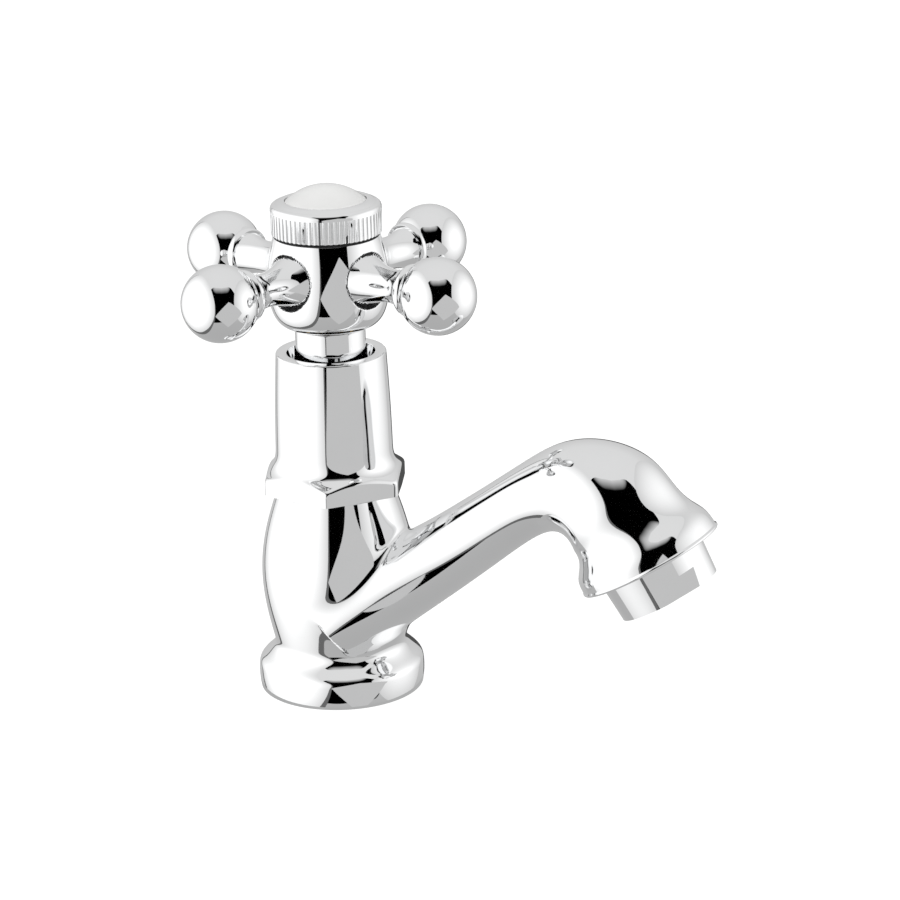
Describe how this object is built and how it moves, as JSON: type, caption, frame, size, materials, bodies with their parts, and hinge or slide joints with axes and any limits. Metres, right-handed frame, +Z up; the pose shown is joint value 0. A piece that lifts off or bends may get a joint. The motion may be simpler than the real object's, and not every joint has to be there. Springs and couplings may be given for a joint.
{
  "type": "cross handle tap",
  "caption": "Deck-mounted basin tap: cross handle with ball-ended arms on a rising spindle, swelling column, bell-mouthed spout with an aerator, threaded tail and backnut.",
  "frame": {"origin": "centre of the base flange's underside, on the column's axis, in the plane of the deck", "axes": "+Z up the column along the spindle, +X along the spout towards the outlet"},
  "size_m": [0.1479, 0.0906, 0.1839],
  "materials": {
    "chrome": "bright chrome plate, mirror polished",
    "enamel": "glossy white",
    "brass": "turned, unplated",
    "steel": "stainless, turned",
    "rubber": "matte black",
    "fibre": "pressed red fibre",
    "packing": "waxy white",
    "jet_plastic": "moulded grey"
  },
  "bodies": {
    "root": {"tap_body": "chrome", "base_seal": "rubber", "headwork_bonnet": "brass", "bonnet_washer": "fibre", "gland_packing": "packing", "gland_nut": "brass", "bonnet_shroud": "chrome", "aerator_housing": "chrome", "aerator_seal": "rubber", "aerator_insert": "jet_plastic", "aerator_mesh": "steel"},
    "valve": {"jumper": "brass", "seat_washer": "rubber", "washer_nut": "brass"},
    "handle": {"spindle": "brass", "handle_hub": "chrome", "handle_arm_1": "chrome", "handle_arm_2": "chrome", "handle_arm_3": "chrome", "handle_arm_4": "chrome", "index_ring": "chrome", "index_button": "enamel", "handle_screw": "steel", "screw_washer": "steel"},
    "clamp_rings": {"deck_washer": "rubber", "clamp_washer": "steel"},
    "nut": {"backnut": "brass"}
  },
  "joints": [
    {"name": "valve_lift", "type": "slide", "parent": "root", "child": "valve", "axis": [0, 0, 1], "range_m": [0, 0.00505]},
    {"name": "handle_turn", "type": "hinge", "parent": "valve", "child": "handle", "pos_m": [0, 0, 0.1113], "axis": [0, 0, 1], "range_deg": [0, 900]},
    {"name": "backnut_travel", "type": "slide", "parent": "root", "child": "clamp_rings", "axis": [0, 0, -1], "range_m": [0, 0.0146]},
    {"name": "backnut_turn", "type": "hinge", "parent": "clamp_rings", "child": "nut", "pos_m": [0, 0, -0.0265], "axis": [0, 0, -1], "range_deg": [0, 2880]}
  ],
  "couplings": [
    {"joint": "valve_lift", "follows": "handle_turn", "m_per_rad": 0.00031831},
    {"joint": "backnut_travel", "follows": "backnut_turn", "m_per_rad": 0.00028871}
  ]
}
